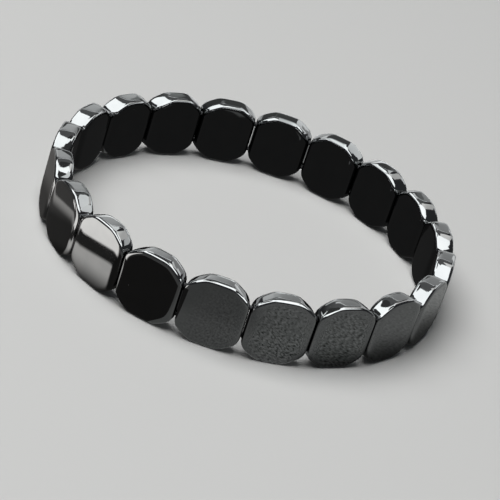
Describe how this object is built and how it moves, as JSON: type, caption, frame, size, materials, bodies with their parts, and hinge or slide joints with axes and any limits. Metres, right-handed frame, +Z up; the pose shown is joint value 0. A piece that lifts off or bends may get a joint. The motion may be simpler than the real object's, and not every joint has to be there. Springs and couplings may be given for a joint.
{
  "type": "beaded stretch bracelet",
  "caption": "Closed stretch bracelet of mirror-polished dark stone tile beads, drilled and strung edge to edge on hidden elastic cords, lying flat as an open ring.",
  "frame": {"origin": "centre of the ring, on the plane that the beads' flat bottoms rest on", "axes": "+Z up along the ring's own axis; +X through the middle of bead_01, and the beads follow anticlockwise seen from above; -Y towards the side that the picture shows nearest"},
  "size_m": [0.0632, 0.0632, 0.0104],
  "materials": {
    "polished_stone": "mirror-polished dark gunmetal grey stone with a metallic lustre",
    "elastic": "plain dark elastic cord"
  },
  "bodies": {
    "root": {"bead_01": "polished_stone", "bead_02": "polished_stone", "bead_03": "polished_stone", "bead_04": "polished_stone", "bead_05": "polished_stone", "bead_06": "polished_stone", "bead_07": "polished_stone", "bead_08": "polished_stone", "bead_09": "polished_stone", "bead_10": "polished_stone", "bead_11": "polished_stone", "bead_12": "polished_stone", "bead_13": "polished_stone", "bead_14": "polished_stone", "bead_15": "polished_stone", "bead_16": "polished_stone", "bead_17": "polished_stone", "bead_18": "polished_stone", "bead_19": "polished_stone", "bead_20": "polished_stone", "elastic_cord_upper": "elastic", "elastic_cord_lower": "elastic"}
  },
  "joints": []
}
